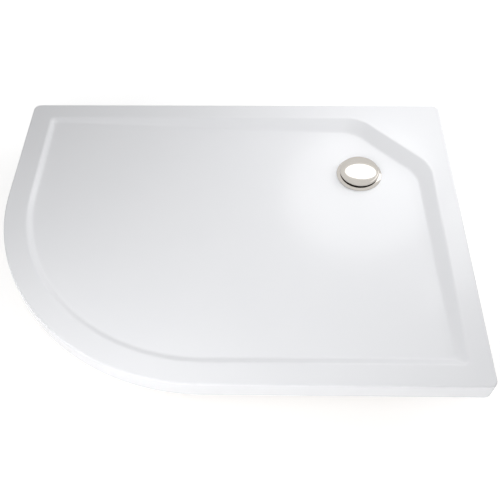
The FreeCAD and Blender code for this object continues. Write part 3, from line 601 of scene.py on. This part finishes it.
# Studio floor: it glows more far from the tray, and the light on it makes it white outside the shadow
STAGE_REACH, STAGE_DROP = 6.0, 0.0205
STAGE_TONE, STAGE_ROUGHNESS = 0.9, 0.9
GLOW_BY_TRAY, GLOW_FAR_OFF = 0.7, 1.0
GLOW_START, GLOW_END = 0.75, 1.8
SHADOW_DEPTH = 0.5

# Light: a soft sky that shows white, and lamps
SKY_LEVEL = 0.288
TRAY_MIDDLE = (0.05, 0.0, 0.13)
WASTE_MIDDLE = (0.35, 0.2, 0.14)
SKIRT_MIDDLE = 0.12
LOW_LAMP_PLACE, LOW_LAMP_SIZE, LOW_LAMP_SPREAD = 0.07, 0.12, 60.0


def photo_camera():
    """Camera that looks down on the tray from the front."""
    camera = bpy.data.cameras.new("photo_camera")
    camera.sensor_width = SENSOR_WIDTH
    camera.lens = FOCAL_PIXELS / IMAGE_PIXELS * SENSOR_WIDTH
    forward = Vector((math.sin(YAW) * math.cos(PITCH), math.cos(YAW) * math.cos(PITCH), -math.sin(PITCH)))
    level = Vector((math.cos(YAW), -math.sin(YAW), 0))
    down = forward.cross(level)
    right = level * math.cos(ROLL) + down * math.sin(ROLL)
    below = down * math.cos(ROLL) - level * math.sin(ROLL)
    turn = Matrix((right, -below, -forward)).transposed().to_4x4()
    viewer = bpy.data.objects.new("photo_camera", camera)
    viewer.matrix_world = Matrix.Translation(CAMERA_PLACE) @ turn
    bpy.context.scene.collection.objects.link(viewer)
    bpy.context.scene.camera = viewer


def softbox(name, place, target, width, height, radiance, mirrored, roll=0.0, spread=180.0):
    """Round area lamp aimed at a point, which mirrors in the gloss or only gives light."""
    lamp = bpy.data.lights.new(name, "AREA")
    lamp.shape = "ELLIPSE"
    lamp.size = width
    lamp.size_y = height
    lamp.energy = radiance * math.pi ** 2 / 4 * width * height
    lamp.spread = math.radians(spread)
    holder = bpy.data.objects.new(name, lamp)
    aim = Vector(target) - Vector(place)
    turn = aim.to_track_quat("-Z", "Y").to_matrix().to_4x4() @ Matrix.Rotation(roll, 4, "Z")
    holder.matrix_world = Matrix.Translation(place) @ turn
    holder.visible_camera = False
    holder.visible_glossy = mirrored
    bpy.context.scene.collection.objects.link(holder)


def low_lamp(name, place, target, width, radiance):
    """Wide flat lamp near the floor, which lights one side of the skirt."""
    softbox(
        name, (*place, LOW_LAMP_PLACE), (*target, SKIRT_MIDDLE), width, LOW_LAMP_SIZE, radiance, False,
        spread=LOW_LAMP_SPREAD)


def white_background(tree, hidden, shown):
    """Value for light that the surface gives, and for what camera, glossy and transmission rays see."""
    paths = tree.nodes.new("ShaderNodeLightPath")
    seen = sums(tree, "MAXIMUM", paths.outputs["Is Camera Ray"], paths.outputs["Is Glossy Ray"])
    seen = sums(tree, "MAXIMUM", seen, paths.outputs["Is Transmission Ray"])
    return remap(tree, seen, 0.0, 1.0, hidden, shown)


def studio_world():
    """White for what sees it, and a soft even sky for the light it gives."""
    world = bpy.data.worlds.new("studio")
    world.use_nodes = True
    tree = world.node_tree
    background = tree.nodes["Background"]
    background.inputs["Color"].default_value = (1, 1, 1, 1)
    tree.links.new(white_background(tree, SKY_LEVEL, 1.0), background.inputs["Strength"])
    bpy.context.scene.world = world


def studio_floor():
    """Pale floor that shows white where it is lit, and keeps the soft shadow of the tray."""
    bm = bmesh.new()
    bmesh.ops.create_grid(bm, x_segments=2, y_segments=2, size=STAGE_REACH / METRES)
    floor = new_object(bm, "studio_floor")
    floor.location.z = -STAGE_DROP
    pale = {"Base Color": (STAGE_TONE, STAGE_TONE, STAGE_TONE, 1), "Roughness": STAGE_ROUGHNESS}
    material = new_material("studio_floor", pale)
    tree = material.node_tree
    reach = add_node(tree, "ShaderNodeVectorMath", operation="LENGTH")
    tree.links.new(object_place(tree), reach.inputs[0])
    strength = remap(tree, reach.outputs["Value"], GLOW_START, GLOW_END, GLOW_BY_TRAY, GLOW_FAR_OFF)
    glow = add_node(tree, "ShaderNodeEmission", Color=(1, 1, 1, 1))
    tree.links.new(strength, glow.inputs["Strength"])
    lit = add_node(tree, "ShaderNodeBsdfDiffuse", Color=(SHADOW_DEPTH, SHADOW_DEPTH, SHADOW_DEPTH, 1))
    shown = tree.nodes.new("ShaderNodeAddShader")
    tree.links.new(glow.outputs[0], shown.inputs[0])
    tree.links.new(lit.outputs[0], shown.inputs[1])
    mix = tree.nodes.new("ShaderNodeMixShader")
    tree.links.new(white_background(tree, 0.0, 1.0), mix.inputs[0])
    tree.links.new(tree.nodes["Principled BSDF"].outputs[0], mix.inputs[1])
    tree.links.new(shown.outputs[0], mix.inputs[2])
    tree.links.new(mix.outputs[0], tree.nodes["Material Output"].inputs["Surface"])
    floor.data.materials.append(material)


photo_camera()
studio_world()
studio_floor()
softbox("window", (0.576, 1.162, 1.273), WASTE_MIDDLE, 0.68, 0.52, 1.7, True, 0.32)
softbox("side_window", (1.18, 0.946, 1.148), WASTE_MIDDLE, 0.4, 1.1, 1.25, True)
softbox("back_lamp", (1.2, 1.8, 0.8), TRAY_MIDDLE, 0.8, 0.8, 3.77, False)
softbox("side_lamp", (2.6, 0.8, 1.3), TRAY_MIDDLE, 1.2, 1.2, 4.6, False)
softbox("front_lamp", (-0.43, -0.88, 0.95), TRAY_MIDDLE, 0.8, 0.8, 4.49, False)
softbox("near_lamp", (0.5, -1.2, 0.6), TRAY_MIDDLE, 0.8, 0.6, 0.95, False)
softbox("top_lamp", (0.47, 0.3, 0.75), TRAY_MIDDLE, 0.8, 0.8, 1.2, False)
low_lamp("low_front_lamp", (0.45, -1.5), (0.45, -0.45), 1.6, 0.98)
low_lamp("low_bend_lamp", (-1.3, -1.1), (-0.4, -0.3), 1.2, 1.12)
low_lamp("low_left_lamp", (-1.9, 0.4), (-0.6, 0.2), 1.2, 1.4)
low_lamp("low_back_lamp", (-0.2, 1.8), (-0.1, 0.45), 1.6, 1.1)
bpy.context.scene.view_settings.view_transform = "Standard"
